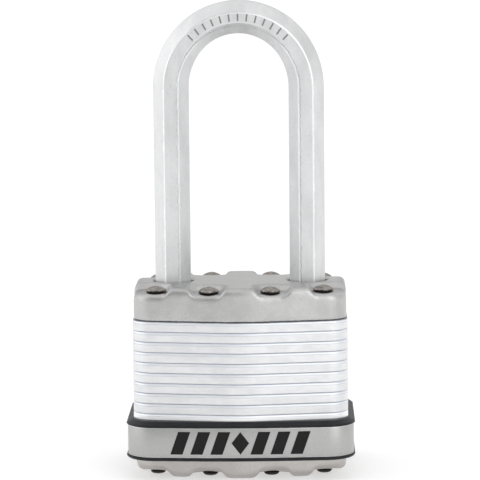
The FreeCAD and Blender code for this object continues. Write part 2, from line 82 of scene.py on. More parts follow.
class Graph:
    """Node tree, with short calls for the nodes that the finishes share."""

    def __init__(self, tree: bpy.types.NodeTree) -> None:
        """Start from an empty tree."""
        self.nodes = tree.nodes
        self.links = tree.links
        self.nodes.clear()

    def place(self, scale: Triple = (1, 1, 1)) -> Socket:
        """Object coordinates in millimetres, stretched along the axes.

        Args:
            scale: Pattern repeats along X, Y and Z for each millimetre.

        Returns:
            The vector socket.
        """
        coordinate = self.nodes.new("ShaderNodeTexCoord")
        mapping = self.nodes.new("ShaderNodeMapping")
        mapping.inputs["Scale"].default_value = [s / MM for s in scale]
        self.links.new(coordinate.outputs["Object"], mapping.inputs["Vector"])
        return mapping.outputs["Vector"]

    def noise(self, vector: Socket, detail: float = 2.0, roughness: float = 0.5) -> Socket:
        """Noise with one feature for each unit of its vector.

        Args:
            vector: Where the noise is read.
            detail: Number of finer octaves.
            roughness: Strength of the finer octaves.

        Returns:
            The value socket, from about 0.3 to 0.7.
        """
        node = self.nodes.new("ShaderNodeTexNoise")
        node.inputs["Scale"].default_value = 1.0
        node.inputs["Detail"].default_value = detail
        node.inputs["Roughness"].default_value = roughness
        self.links.new(vector, node.inputs["Vector"])
        return node.outputs["Fac"]

    def span(self, value: Socket, start: float, end: float, low: float, high: float) -> Socket:
        """Map a value's range from start to end onto low to high, held at both ends."""
        node = self.nodes.new("ShaderNodeMapRange")
        self.links.new(value, node.inputs["Value"])
        limits = {"From Min": start, "From Max": end, "To Min": low, "To Max": high}
        for name, number in limits.items():
            node.inputs[name].default_value = number
        return node.outputs["Result"]

    def math(self, operation: str, first: object, second: object = 0.0) -> Socket:
        """Arithmetic on two sockets or numbers.

        Args:
            operation: Name of the Math node's operation.
            first: Socket or number.
            second: Socket or number.

        Returns:
            The result socket.
        """
        node = self.nodes.new("ShaderNodeMath")
        node.operation = operation
        for slot, value in enumerate((first, second)):
            if isinstance(value, Socket):
                self.links.new(value, node.inputs[slot])
            else:
                node.inputs[slot].default_value = value
        return node.outputs["Value"]

    def product(self, first: object, second: object) -> Socket:
        """Product of two sockets or numbers."""
        return self.math("MULTIPLY", first, second)

    def total(self, first: object, second: object) -> Socket:
        """Sum of two sockets or numbers."""
        return self.math("ADD", first, second)

    def difference(self, first: object, second: object) -> Socket:
        """First socket or number less the second."""
        return self.math("SUBTRACT", first, second)

    def weigh(self, first: Socket, weight: float, second: Socket, other_weight: float) -> Socket:
        """Sum of two sockets, each times its weight."""
        return self.total(self.product(first, weight), self.product(second, other_weight))

    def blend(self, share: Socket, low: object, high: object) -> Socket:
        """Mix two colours or colour sockets by a share from 0 to 1."""
        node = self.nodes.new("ShaderNodeMix")
        node.data_type = "RGBA"
        self.links.new(share, node.inputs["Factor"])
        for name, value in (("A", low), ("B", high)):
            socket = next(s for s in node.inputs if s.name == name and s.type == "RGBA")
            if isinstance(value, Socket):
                self.links.new(value, socket)
            else:
                socket.default_value = (*value, 1.0)
        return next(s for s in node.outputs if s.type == "RGBA")

    def split(self, vector: Socket) -> tuple[Socket, ...]:
        """The X, Y and Z sockets of a vector."""
        node = self.nodes.new("ShaderNodeSeparateXYZ")
        self.links.new(vector, node.inputs["Vector"])
        return node.outputs["X"], node.outputs["Y"], node.outputs["Z"]

    def between(self, value: Socket, low: float, high: float, edge: float) -> Socket:
        """1 where a value lies between two limits and 0 outside, with soft edges."""
        return self.product(self.span(value, low - edge, low + edge, 0.0, 1.0),
                            self.span(value, high - edge, high + edge, 1.0, 0.0))


class Paint(Graph):
    """Node tree of one material, round a Principled shader."""

    def __init__(self, name: str) -> None:
        """Start a material that holds only the shader.

        Args:
            name: The material's name.
        """
        self.material = bpy.data.materials.new(name)
        self.material.use_nodes = True
        super().__init__(self.material.node_tree)
        self.shader = self.nodes.new("ShaderNodeBsdfPrincipled")
        output = self.nodes.new("ShaderNodeOutputMaterial")
        self.links.new(self.shader.outputs["BSDF"], output.inputs["Surface"])

    def set(self, **values: object) -> None:
        """Set sockets of the shader, named with underscores for spaces."""
        for name, value in values.items():
            self.shader.inputs[name.replace("_", " ")].default_value = value

    def feed(self, socket: str, source: Socket) -> None:
        """Link a source to one of the shader's sockets."""
        self.links.new(source, self.shader.inputs[socket])

    def relief(self, height: Socket, depth_mm: float, strength: float = 1.0) -> None:
        """Raise the surface by a height pattern.

        Args:
            height: The pattern, 1 for each full depth.
            depth_mm: Depth of the relief in millimetres.
            strength: Share of the relief that shows.
        """
        bump = self.nodes.new("ShaderNodeBump")
        bump.inputs["Strength"].default_value = strength
        bump.inputs["Distance"].default_value = depth_mm * MM
        self.links.new(height, bump.inputs["Height"])
        self.feed("Normal", bump.outputs["Normal"])


# Finishes ------------------------------------------------------------------------


@dataclass(frozen=True)
class SatinChrome:
    """Plated bar: bright, softly blurred, with fine pits and dark struck strokes.

    Painted highlight lines and a painted shade line run along the edges of its front flat.
    """

    name: str = "satin_chrome"
    tone: Triple = (0.74, 0.745, 0.75)
    shade: Triple = (0.66, 0.665, 0.67)
    # Dark colour of the stamped strokes and specks, also used for the painted shade line; the
    # lightest colour is the painted highlight.
    stamped_and_crease_shade: Triple = (0.27, 0.27, 0.27)
    edge_highlight: Triple = (0.96, 0.965, 0.97)
    front_flat: float = 3.675
    stroke_depth: float = 0.14
    leg_line: float = 14.0
    bow_level: float = 79.8
    # Offsets from the bar's middle of the painted shade line and the two painted highlight lines.
    crease_shade_offset: float = 1.30
    highlight_offset: float = 1.60
    outer_highlight_offset: float = -1.45
    line_width: float = 0.12

    def edge_line(self, g: Paint, offset: float, faint: float, strong: float) -> Socket:
        """Uneven line inside the middle of the bar, along the legs and round the bow; it places
        the painted highlight lines and the painted shade line along the edges of the front flat.

        Args:
            g: The material being built.
            offset: Distance from the middle of the bar in millimetres.
            faint: Share of the line where it is faintest.
            strong: Share of the line where it is strongest.

        Returns:
            A share from 0 to 1.
        """
        x, y, z = g.split(g.place())
        rise = g.math("MAXIMUM", g.difference(z, self.bow_level), 0.0)
        reach = g.math("SQRT", g.total(g.product(x, x), g.product(rise, rise)))
        wander = g.noise(g.place((0.8, 0.8, 0.8)), 3.0, 0.6)
        middle = self.leg_line - offset
        line = g.between(g.total(reach, g.span(wander, *NOISE, -0.08, 0.08)),
                         middle - self.line_width, middle + self.line_width, 0.06)
        front = g.span(y, 0.6 - self.front_flat, 0.8 - self.front_flat, 1.0, 0.0)
        strength = g.span(wander, 0.35, 0.6, strong, faint)
        return g.product(g.product(line, front), strength)

    def make(self) -> bpy.types.Material:
        """Build the material."""
        g = Paint(self.name)
        cloud = g.noise(g.place((0.35, 0.35, 0.12)), 4.0, 0.6)
        pits = g.noise(g.place((3.2, 3.2, 3.2)), 3.0, 0.6)
        lines = g.noise(g.place((6.0, 6.0, 0.25)), 2.0, 0.5)
        plated = g.blend(g.span(cloud, *NOISE_CORE, 0.0, 1.0), self.shade, self.tone)
        specks = g.noise(g.place((2.6, 2.6, 2.6)), 5.0, 0.75)
        plated = g.blend(g.span(specks, 0.33, 0.39, 0.5, 0.0), plated, self.stamped_and_crease_shade)
        # Painted shade: a dark line along the inner edge of the front flat.
        plated = g.blend(self.edge_line(g, self.crease_shade_offset, 0.2, 0.55), plated, self.stamped_and_crease_shade)
        # Painted highlights: bright lines along the inner and the outer edge of the front flat.
        for offset, strong in ((self.highlight_offset, 1.0), (self.outer_highlight_offset, 0.9)):
            plated = g.blend(self.edge_line(g, offset, 0.6, strong), plated, self.edge_highlight)
        geometry = g.nodes.new("ShaderNodeNewGeometry")
        facing = g.span(g.split(geometry.outputs["Normal"])[1], -0.97, -0.93, 1.0, 0.0)
        floor = self.stroke_depth - self.front_flat
        sunk = g.between(g.split(g.place())[1], floor - 0.06, floor + 0.04, 0.02)
        g.feed("Base Color", g.blend(g.product(facing, sunk), plated, self.stamped_and_crease_shade))
        rough = g.total(g.span(cloud, *NOISE_CORE, 0.32, 0.38),
                        g.span(pits, 0.4, 0.7, 0.0, 0.08))
        g.feed("Roughness", rough)
        g.set(Metallic=0.8)
        g.relief(g.weigh(pits, 0.8, lines, 0.2), 0.05, 0.7)
        return g.material


@dataclass(frozen=True)
class BrightPlate:
    """Zinc-plated sheet, blanked: a smooth rolled upper edge, a crease, then the sheared face.

    A painted shadow lies under the upper cover's rim, and a faint glow just over the bumper's
    ledge makes up for the light that the ledge takes away. The upper edge's round is painted
    lighter as a highlight, and a painted shade line runs along the crease.
    """

    base: float
    pitch: float
    ledge: float
    cover_rim: float
    name: str = "bright_plate"
    tone: Triple = (0.81, 0.815, 0.825)
    shade: Triple = (0.72, 0.725, 0.74)
    # Lighter colour of the rounded upper edge, a painted highlight.
    rolled_highlight: Triple = (0.84, 0.87, 0.92)
    # Colour of the gaps between plates, also used for the painted shade line at the crease.
    joint: Triple = (0.42, 0.43, 0.47)
    # Colour of the painted shadow under the upper cover's rim.
    rim_shadow: Triple = (0.12, 0.12, 0.14)
    rim_shadow_height: float = 0.22
    roll_share: float = 0.29
    bounce: float = 0.35
    bounce_reach: float = 1.3

    def make(self) -> bpy.types.Material:
        """Build the material."""
        g = Paint(self.name)
        cloud = g.noise(g.place((0.25, 0.25, 0.5)), 3.0, 0.6)
        shear = g.noise(g.place((5.0, 5.0, 0.3)), 3.0, 0.6)
        grain = g.noise(g.place((4.0, 4.0, 4.0)), 2.0, 0.5)
        height = g.total(g.split(g.place())[2], g.span(cloud, *NOISE, -0.05, 0.05))
        share = g.math("FRACT", g.math("DIVIDE", g.difference(height, self.base), self.pitch))
        crease_at = 1 - self.roll_share
        crease = g.between(share, crease_at - 0.03, crease_at + 0.03, 0.02)
        face = g.blend(g.span(cloud, *NOISE_CORE, 0.0, 1.0), self.shade, self.tone)
        # Painted highlight: the rounded upper edge of each plate is coloured lighter.
        edge = g.blend(g.span(share, crease_at, crease_at + 0.04, 0.0, 1.0), face, self.rolled_highlight)
        # Painted shade: the crease is coloured darker, as a line.
        crease_shaded = g.blend(g.product(crease, 0.45), edge, self.joint)
        above, below = g.span(share, 0.02, 0.05, 1.0, 0.0), g.span(share, 0.95, 0.98, 0.0, 1.0)
        gap = g.math("MAXIMUM", above, below)
        stack = g.blend(g.product(gap, 0.5), crease_shaded, self.joint)
        # Painted shadow: a dark band along the upper cover's rim.
        rim_shadow = g.between(height, self.cover_rim - self.rim_shadow_height,
                          self.cover_rim + self.rim_shadow_height, 0.06)
        g.feed("Base Color", g.blend(g.product(rim_shadow, 0.8), stack, self.rim_shadow))
        g.feed("Roughness", g.total(g.span(cloud, *NOISE, 0.28, 0.38),
                                    g.span(grain, 0.4, 0.7, 0.0, 0.06)))
        bounce = g.span(height, self.ledge, self.ledge + self.bounce_reach, self.bounce, 0.0)
        g.feed("Emission Strength", bounce)
        g.set(Metallic=0.6, Emission_Color=(1.0, 1.0, 1.0, 1.0))
        rough_face = g.product(g.span(share, crease_at, crease_at + 0.04, 1.0, 0.2), shear)
        relief = g.weigh(rough_face, 0.7, grain, 0.3)
        g.relief(g.difference(relief, g.product(crease, 0.8)), 0.03, 0.6)
        return g.material


@dataclass(frozen=True)
class PressedSteel:
    """Tumbled stainless sheet: an even satin grey with a fine grain and short faint rubs."""

    name: str = "pressed_steel"
    tone: Triple = (0.57, 0.568, 0.565)
    shade: Triple = (0.46, 0.458, 0.455)

    def make(self) -> bpy.types.Material:
        """Build the material."""
        g = Paint(self.name)
        cloud = g.noise(g.place((0.22, 0.22, 0.22)), 4.0, 0.6)
        grain = g.noise(g.place((3.5, 3.5, 3.5)), 3.0, 0.65)
        rubs = g.noise(g.place((0.5, 0.5, 5.0)), 2.0, 0.5)
        tint = g.blend(g.span(cloud, *NOISE, 0.0, 1.0), self.shade, self.tone)
        g.feed("Base Color", g.blend(g.span(grain, 0.48, 0.66, 0.0, 0.9), tint, self.shade))
        g.feed("Roughness", g.total(g.span(cloud, *NOISE, 0.27, 0.34),
                                    g.span(grain, 0.35, 0.7, 0.0, 0.08)))
        g.set(Metallic=1.0)
        g.relief(g.weigh(grain, 0.8, rubs, 0.2), 0.055, 0.8)
        return g.material


@dataclass(frozen=True)
class DullRivet:
    """Peened steel, darker than the covers.

    Painted shade darkens each head low on its sides, the shank and most of each closed end.
    """

    seat_top: float
    seat_bottom: float
    name: str = "dull_rivet"
    tone: Triple = (0.40, 0.37, 0.34)
    shade: Triple = (0.20, 0.185, 0.17)
    under_shade: Triple = (0.035, 0.032, 0.03)

    def make(self) -> bpy.types.Material:
        """Build the material."""
        g = Paint(self.name)
        cloud = g.noise(g.place((1.1, 1.1, 1.1)), 4.0, 0.7)
        grain = g.noise(g.place((6.0, 6.0, 6.0)), 2.0, 0.6)
        metal = g.blend(g.span(cloud, *NOISE_CORE, 0.0, 1.0), self.shade, self.tone)
        # Painted shade: near black from low on each closed end up to a little over the head's
        # seat.
        level = g.total(g.split(g.place())[2], g.span(cloud, *NOISE, -0.12, 0.12))
        low = g.between(level, self.seat_bottom - 0.62, self.seat_top + 0.45, 0.12)
        g.feed("Base Color", g.blend(low, metal, self.under_shade))
        g.feed("Roughness", g.span(cloud, *NOISE, 0.14, 0.26))
        g.set(Metallic=1.0)
        g.relief(g.weigh(cloud, 0.6, grain, 0.4), 0.03, 0.5)
        return g.material


@dataclass(frozen=True)
class MouldedBlack:
    """Black thermoplastic with a fine spark-eroded texture."""

    name: str = "moulded_black"
    tone: Triple = (0.013, 0.014, 0.016)
    shade: Triple = (0.006, 0.0065, 0.0075)

    def make(self) -> bpy.types.Material:
        """Build the material."""
        g = Paint(self.name)
        cloud = g.noise(g.place((0.3, 0.3, 0.3)), 3.0, 0.5)
        grain = g.noise(g.place((5.0, 5.0, 5.0)), 2.0, 0.6)
        g.feed("Base Color", g.blend(g.span(cloud, *NOISE, 0.0, 1.0), self.shade, self.tone))
        g.feed("Roughness", g.span(grain, *NOISE, 0.34, 0.48))
        g.set(Specular_IOR_Level=0.25)
        g.relief(grain, 0.03, 0.5)
        return g.material


@dataclass(frozen=True)
class SatinBand:
    """Grey satin strip with a fine sparkle of metal flake.

    Its top and bottom rims are painted lighter, as highlights.
    """

    low: float
    high: float
    name: str = "satin_band"
    tone: Triple = (0.49, 0.49, 0.485)
    shade: Triple = (0.42, 0.42, 0.415)
    rim_highlight: Triple = (0.72, 0.72, 0.72)
    rim: float = 0.2

    def make(self) -> bpy.types.Material:
        """Build the material."""
        g = Paint(self.name)
        flake = g.noise(g.place((5.0, 5.0, 5.0)), 3.0, 0.7)
        cloud = g.noise(g.place((0.2, 0.2, 0.2)), 2.0, 0.5)
        face = g.blend(g.span(flake, *NOISE_CORE, 0.0, 1.0), self.shade, self.tone)
        # Painted highlight: the rims outside the middle take the lighter colour.
        middle = g.between(g.split(g.place())[2], self.low + self.rim, self.high - self.rim, 0.05)
        g.feed("Base Color", g.blend(middle, self.rim_highlight, face))
        g.feed("Roughness", g.total(g.span(cloud, *NOISE, 0.34, 0.40),
                                    g.span(flake, 0.4, 0.7, 0.0, 0.08)))
        g.set(Metallic=0.9)
        g.relief(flake, 0.02, 0.5)
        return g.material


@dataclass(frozen=True)
class PrintInk:
    """Black ink printed on the band, slightly uneven."""

    name: str = "print_ink"
    tone: Triple = (0.010, 0.0105, 0.010)
    shade: Triple = (0.006, 0.0065, 0.006)

    def make(self) -> bpy.types.Material:
        """Build the material."""
        g = Paint(self.name)
        mottle = g.noise(g.place((2.5, 2.5, 2.5)), 3.0, 0.6)
        g.feed("Base Color", g.blend(g.span(mottle, *NOISE_CORE, 0.0, 1.0), self.shade, self.tone))
        g.feed("Roughness", g.span(mottle, *NOISE, 0.42, 0.55))
        g.set(Specular_IOR_Level=0.2)
        g.relief(mottle, 0.01, 0.4)
        return g.material


@dataclass(frozen=True)
class TurnedMetal:
    """Turned or wire-drawn metal with rings about an axis and light handling marks."""

    name: str
    tone: Triple
    shade: Triple
    rough: tuple[float, float] = (0.22, 0.32)
    ring_pitch: float = 0.12

    def make(self) -> bpy.types.Material:
        """Build the material."""
        g = Paint(self.name)
        x, y, z = g.split(g.place())
        reach = g.math("SQRT", g.total(g.product(x, x), g.product(y, y)))
        rings = g.math("SINE", g.product(g.total(reach, z), 2 * math.pi / self.ring_pitch))
        cloud = g.noise(g.place((0.6, 0.6, 0.6)), 3.0, 0.6)
        scuff = g.noise(g.place((4.0, 4.0, 4.0)), 3.0, 0.6)
        g.feed("Base Color", g.blend(g.span(cloud, *NOISE_CORE, 0.0, 1.0), self.shade, self.tone))
        g.feed("Roughness", g.span(scuff, 0.35, 0.7, *self.rough))
        g.set(Metallic=1.0)
        g.relief(g.total(g.product(rings, 0.25), scuff), 0.006, 0.5)
        return g.material


CHROME = SatinChrome()
COVER = PressedSteel()
# Painted shade: the lower cover takes a darker, warmer copy of the cover steel, set against the
# light that the bright floor below gives it.
SHADED_BASE_COVER = PressedSteel("pressed_base_shaded", (0.54, 0.52, 0.50), (0.46, 0.44, 0.42))
PLASTIC = MouldedBlack()
INK = PrintInk()
BRASS = TurnedMetal("turned_brass", (0.80, 0.62, 0.32), (0.66, 0.49, 0.24))
PIN_BRASS = TurnedMetal("pin_brass", (0.84, 0.67, 0.38), (0.72, 0.55, 0.29), ring_pitch=0.08)
ZINC = TurnedMetal("cast_zinc", (0.62, 0.63, 0.65), (0.50, 0.51, 0.53), rough=(0.40, 0.52))
BALL_STEEL = TurnedMetal("ball_steel", (0.82, 0.82, 0.84), (0.76, 0.76, 0.78), rough=(0.06, 0.12))
GROUND_STEEL = TurnedMetal("ground_steel", (0.62, 0.62, 0.62), (0.52, 0.52, 0.52))
SPRING_WIRE = TurnedMetal("spring_wire", (0.68, 0.68, 0.67), (0.55, 0.55, 0.54))


# Shared modelling ----------------------------------------------------------------


def clear_selection() -> None:
    """Deselect every object."""
    bpy.ops.object.select_all(action="DESELECT")


def activate(piece: bpy.types.Object) -> None:
    """Make a piece the only selected and the active one."""
    clear_selection()
    piece.select_set(True)
    bpy.context.view_layer.objects.active = piece


def apply_all(piece: bpy.types.Object) -> None:
    """Apply every modifier of a piece in order."""
    activate(piece)
    for modifier in list(piece.modifiers):
        bpy.ops.object.modifier_apply(modifier=modifier.name)


def coat(piece: bpy.types.Object, material: bpy.types.Material) -> None:
    """Put one material on every slot of a piece."""
    if not piece.material_slots:
        piece.data.materials.append(material)
    for slot in piece.material_slots:
        slot.material = material


def lathe(name: str, rings: list[tuple[float, float]], sides: int = 40) -> bpy.types.Object:
    """A closed turned piece about the Z axis, extruded and scaled from ring to ring.

    Args:
        name: The piece's name.
        rings: Radius and height of each ring in millimetres, from the bottom up.
        sides: Number of sides.

    Returns:
        The piece, with its place in its mesh.
    """
    clear_selection()
    radius, height = rings[0]
    bpy.ops.mesh.primitive_circle_add(vertices=sides, radius=radius * MM, fill_type="NGON",
                                      location=(0, 0, height * MM))
    piece = bpy.context.object
    piece.name = name
    bpy.ops.object.mode_set(mode="EDIT")
    bpy.ops.mesh.select_all(action="SELECT")
    for (narrow, low), (wide, high) in zip(rings, rings[1:]):
        step = (0, 0, (high - low) * MM)
        bpy.ops.mesh.extrude_region_move(TRANSFORM_OT_translate={"value": step})
        bpy.ops.transform.resize(value=(wide / narrow, wide / narrow, 1),
                                 center_override=(0, 0, high * MM))
    bpy.ops.mesh.select_all(action="SELECT")
    bpy.ops.mesh.normals_make_consistent(inside=False)
    bpy.ops.object.mode_set(mode="OBJECT")
    bpy.ops.object.transform_apply(location=True, rotation=True, scale=True)
    return piece


def join(pieces: list[bpy.types.Object], name: str) -> bpy.types.Object:
    """Join pieces into the first one, keeping each as a separate solid in one mesh."""
    clear_selection()
    for piece in pieces:
        piece.select_set(True)
    bpy.context.view_layer.objects.active = pieces[0]
    bpy.ops.object.join()
    pieces[0].name = name
    return pieces[0]


def copy_of_node(node: str, name: str) -> bpy.types.Object:
    """A new piece that starts from a CAD node's shape.

    Args:
        node: The CAD node.
        name: The new piece's name.

    Returns:
        The piece, with its corners merged and no material.
    """
    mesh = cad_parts[node].data.copy()
    mesh.materials.clear()
    piece = bpy.data.objects.new(name, mesh)
    bpy.context.scene.collection.objects.link(piece)
    activate(piece)
    bpy.ops.object.mode_set(mode="EDIT")
    bpy.ops.mesh.select_all(action="SELECT")
    bpy.ops.mesh.remove_doubles(threshold=0.002 * MM)
    bpy.ops.object.mode_set(mode="OBJECT")
    return piece


def soften(piece: bpy.types.Object, voxel_mm: float, rounds: int) -> None:
    """Remesh a piece evenly and relax it, so that its creases become pressed or moulded curves.

    Args:
        piece: The piece to change.
        voxel_mm: Size of the new faces.
        rounds: Number of smoothing rounds.
    """
    remesh = piece.modifiers.new("even_faces", "REMESH")
    remesh.mode = "VOXEL"
    remesh.voxel_size = voxel_mm * MM
    remesh.use_smooth_shade = True
    relax = piece.modifiers.new("relax", "SMOOTH")
    relax.factor = 0.5
    relax.iterations = rounds
    apply_all(piece)


def draw_smooth(piece: bpy.types.Object, rounds: int, start_mm: float, end_mm: float) -> None:
    """Relax only one end of a piece, as a press does where it draws the sheet.

    Args:
        piece: The piece to change.
        rounds: Number of smoothing rounds.
        start_mm: Level where the smoothing begins.
        end_mm: Level from which it is full.
    """
    drawn = piece.vertex_groups.new(name="drawn")
    for vertex in piece.data.vertices:
        share = (vertex.co.z / MM - start_mm) / (end_mm - start_mm)
        drawn.add([vertex.index], min(max(share, 0.0), 1.0), "REPLACE")
    relax = piece.modifiers.new("relax", "SMOOTH")
    relax.factor = 0.5
    relax.iterations = rounds
    relax.vertex_group = drawn.name
    apply_all(piece)
    piece.vertex_groups.clear()


def smooth_by_angle(piece: bpy.types.Object, degrees: float) -> None:
    """Shade a piece smooth, but for edges sharper than an angle."""
    activate(piece)
    bpy.ops.object.shade_smooth_by_angle(angle=math.radians(degrees))


# Sub-assemblies ------------------------------------------------------------------


@dataclass
class Shackle:
    """The faceted bar with its round feet."""

    node: str = "shackle"

    def dress(self) -> None:
        """Give the bar its plating."""
        coat(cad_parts[self.node], CHROME.make())


@dataclass
class Laminations:
    """The stack of plates."""

    count: int = 16

    def dress(self) -> None:
        """Give every plate the same bright sheet finish, lined up with the stack."""
        low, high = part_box("plate_01")
        ledge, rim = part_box("bumper")[1][2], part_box("top_cover")[0][2]
        finish = BrightPlate(base=low[2] / MM, pitch=(high[2] - low[2]) / MM, ledge=ledge / MM,
                             cover_rim=rim / MM).make()
        for number in range(1, self.count + 1):
            coat(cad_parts[f"plate_{number:02d}"], finish)


@dataclass
class PressedCovers:
    """Upper and lower cover, softened like deep-drawn sheet."""

    voxel: float = 0.25
    rounds: int = 4
    draw_rounds: int = 16
    skirt: float = 2.0
    blend: float = 1.2

    def press(self, node: str, finish: PressedSteel, way: int) -> bpy.types.Object:
        """Make one cover from its CAD node and put it in that node's place.

        Args:
            node: The CAD node.
            finish: The cover's finish.
            way: 1 when the cover's face is up and -1 when it is down.

        Returns:
            The pressed cover.
        """
        low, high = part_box(node)
        rim = (low[2] if way > 0 else high[2]) / MM
        piece = copy_of_node(node, f"{node}_pressed")
        soften(piece, self.voxel, self.rounds)
        start = rim + way * self.skirt
        draw_smooth(piece, self.draw_rounds, start, start + way * self.blend)
        coat(piece, finish.make())
        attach(piece, "body")
        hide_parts(node)
        return piece

    def build(self) -> None:
        """Make both covers."""
        # The lower cover's finish is the darker copy of the steel, painted shade.
        for node, finish, way in (("top_cover", COVER, 1), ("bottom_cover", SHADED_BASE_COVER, -1)):
            piece = self.press(node, finish, way)
            LOG.info("%s: %d faces", piece.name, len(piece.data.polygons))


@dataclass
class Rivets:
    """Eight rivets with domed, slightly dented heads and smaller closed ends."""

    outer: tuple[float, float] = (17.2, 9.2)
    inner: tuple[float, float] = (6.3, 11.3)
    shank: float = 1.1
    head: tuple[tuple[float, float], ...] = (
        (1.70, -1.40), (1.97, -1.30), (2.09, -1.14), (2.09, -0.98), (2.00, -0.80), (1.82, -0.63),
        (1.56, -0.46), (1.27, -0.32), (0.98, -0.21), (0.72, -0.13), (0.50, -0.08), (0.32, -0.05),
        (0.18, -0.03), (0.07, -0.02))
    tail: tuple[tuple[float, float], ...] = (
        (0.10, 0.00), (0.55, 0.02), (0.95, 0.07), (1.25, 0.17), (1.48, 0.33), (1.60, 0.55),
        (1.58, 0.76), (1.38, 0.88))
    dent: tuple[float, float] = (0.45, -0.30)
    dent_radius: float = 0.26
    dent_depth: float = 0.16
    dome_from: int = 3
    turn_step: float = 73.0
    shade_angle: float = 50.0

    def one(self) -> bpy.types.Object:
        """Turn one rivet about the Z axis and dent its head."""
        low, high = (corner[2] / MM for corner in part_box("rivets"))
        tail = [(radius, low + rise) for radius, rise in self.tail]
        head = [(radius, high + rise) for radius, rise in self.head]
        rings = tail + [(self.shank, tail[-1][1]), (self.shank, head[0][1])] + head
        rivet = lathe("rivet", rings)
        for vertex in rivet.data.vertices:
            if vertex.co.z / MM > head[self.dome_from][1]:
                away = math.hypot(vertex.co.x / MM - self.dent[0], vertex.co.y / MM - self.dent[1])
                vertex.co.z -= self.dent_depth * MM * math.exp(-(away / self.dent_radius) ** 2)
        return rivet

    def build(self) -> None:
        """Copy the rivet to all eight places."""
        low, high = (corner[2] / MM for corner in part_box("rivets"))
        first = self.one()
        rivets = []
        for x, y in (self.outer, self.inner):
            for side, depth in ((-1, -1), (-1, 1), (1, -1), (1, 1)):
                rivet = first.copy()
                rivet.data = first.data.copy()
                bpy.context.scene.collection.objects.link(rivet)
                turn = Matrix.Rotation(math.radians(self.turn_step * len(rivets)), 4, "Z")
                rivet.data.transform(Matrix.Translation((side * x * MM, depth * y * MM, 0)) @ turn)
                rivets.append(rivet)
        bpy.data.objects.remove(first)
        group = join(rivets, "rivets_peened")
        smooth_by_angle(group, self.shade_angle)
        # Seat levels that bound the painted shade on the rivets.
        seat_top, seat_bottom = high + self.head[0][1], low + self.tail[-1][1]
        coat(group, DullRivet(seat_top, seat_bottom).make())
        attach(group, "body")
        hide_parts("rivets")


@dataclass
class Bumper:
    """Black ring round the lower body, its metal band and the mark printed on the band."""

    voxel: float = 0.22
    rounds: int = 3
    band_bevel: float = 0.12
    bevel_angle: float = 60.0
    shade_angle: float = 35.0
    mark_count: int = 7
    mark_step: float = 4.1
    mark_width: float = 2.5
    mark_height: float = 4.7
    mark_slant: float = 0.35
    lozenge_width: float = 3.6
    mark_cuts: int = 6
    ink: float = 0.03

    def ring(self) -> None:
        """Make the moulded ring."""
        ring = copy_of_node("bumper", "bumper_moulding")
        soften(ring, self.voxel, self.rounds)
        coat(ring, PLASTIC.make())
        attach(ring, "body")
        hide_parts("bumper")

    def strip(self) -> bpy.types.Object:
        """Make the band, its edges broken."""
        strip = copy_of_node("band", "band_strip")
        bevel = strip.modifiers.new("broken_edges", "BEVEL")
        bevel.width = self.band_bevel * MM
        bevel.segments = 2
        bevel.limit_method = "ANGLE"
        bevel.angle_limit = math.radians(self.bevel_angle)
        apply_all(strip)
        smooth_by_angle(strip, self.shade_angle)
        low, high = (corner[2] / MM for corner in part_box("band"))
        coat(strip, SatinBand(low, high).make())
        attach(strip, "body")
        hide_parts("band")
        return strip

    def stroke(self, number: int) -> bpy.types.Object:
        """One stroke of the mark: a slanted bar, or a lozenge in the middle.

        Args:
            number: Place in the row, 0 in the middle.

        Returns:
            The flat stroke, standing just in front of the band.
        """
        low, high = (Vector(corner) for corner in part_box("band"))
        place = (number * self.mark_step * MM, low.y - MM, (low.z + high.z) / 2)
        clear_selection()
        bpy.ops.mesh.primitive_plane_add(size=MM, rotation=(math.pi / 2, 0, 0))
        stroke = bpy.context.object
        bpy.ops.object.mode_set(mode="EDIT")
        bpy.ops.mesh.subdivide(number_cuts=self.mark_cuts)
        bpy.ops.object.mode_set(mode="OBJECT")
        bpy.ops.object.transform_apply(location=False, rotation=True, scale=True)
        for vertex in stroke.data.vertices:
            x, z = vertex.co.x, vertex.co.z
            if number == 0:
                vertex.co = ((x + z) * self.lozenge_width / 2, 0, (z - x) * self.mark_height / 2)
            else:
                slant = z * self.mark_height * self.mark_slant
                vertex.co = (x * self.mark_width + slant, 0, z * self.mark_height)
        stroke.data.transform(Matrix.Translation(place))
        return stroke

    def mark(self, strip: bpy.types.Object) -> None:
        """Print the row of strokes on the front of the band."""
        half = self.mark_count // 2
        mark = join([self.stroke(number) for number in range(-half, half + 1)], "band_mark")
        wrap = mark.modifiers.new("onto_band", "SHRINKWRAP")
        wrap.target = strip
        wrap.wrap_method = "PROJECT"
        wrap.use_project_y = True
        wrap.use_positive_direction = True
        wrap.offset = self.ink * MM / 3
        coat_of_ink = mark.modifiers.new("ink", "SOLIDIFY")
        coat_of_ink.thickness = self.ink * MM
        coat_of_ink.offset = 1.0
        apply_all(mark)
        coat(mark, INK.make())
        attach(mark, "body")

    def build(self) -> None:
        """Make the ring, the band and its mark."""
        self.ring()
        self.mark(self.strip())


@dataclass
class LockWorks:
    """Cylinder, pins, cam, balls and springs inside the body."""

    finishes: dict[str, TurnedMetal] = field(default_factory=lambda: {
        "cylinder_shell": BRASS,
        "chamber_cap": BRASS,
        "plug": BRASS,
        "key_pin_": PIN_BRASS,
        "driver_pin_": PIN_BRASS,
        "cam": ZINC,
        "ball_": BALL_STEEL,
        "heel_stop_pin": GROUND_STEEL,
        "shackle_spring": SPRING_WIRE,
        "cam_spring": SPRING_WIRE,
        "pin_spring_": SPRING_WIRE,
    })

    def dress(self) -> None:
        """Give each inner piece the finish of its kind."""
        for kind, finish in self.finishes.items():
            material = finish.make()
            for name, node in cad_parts.items():
                if name == kind or (kind.endswith("_") and name.startswith(kind)):
                    coat(node, material)


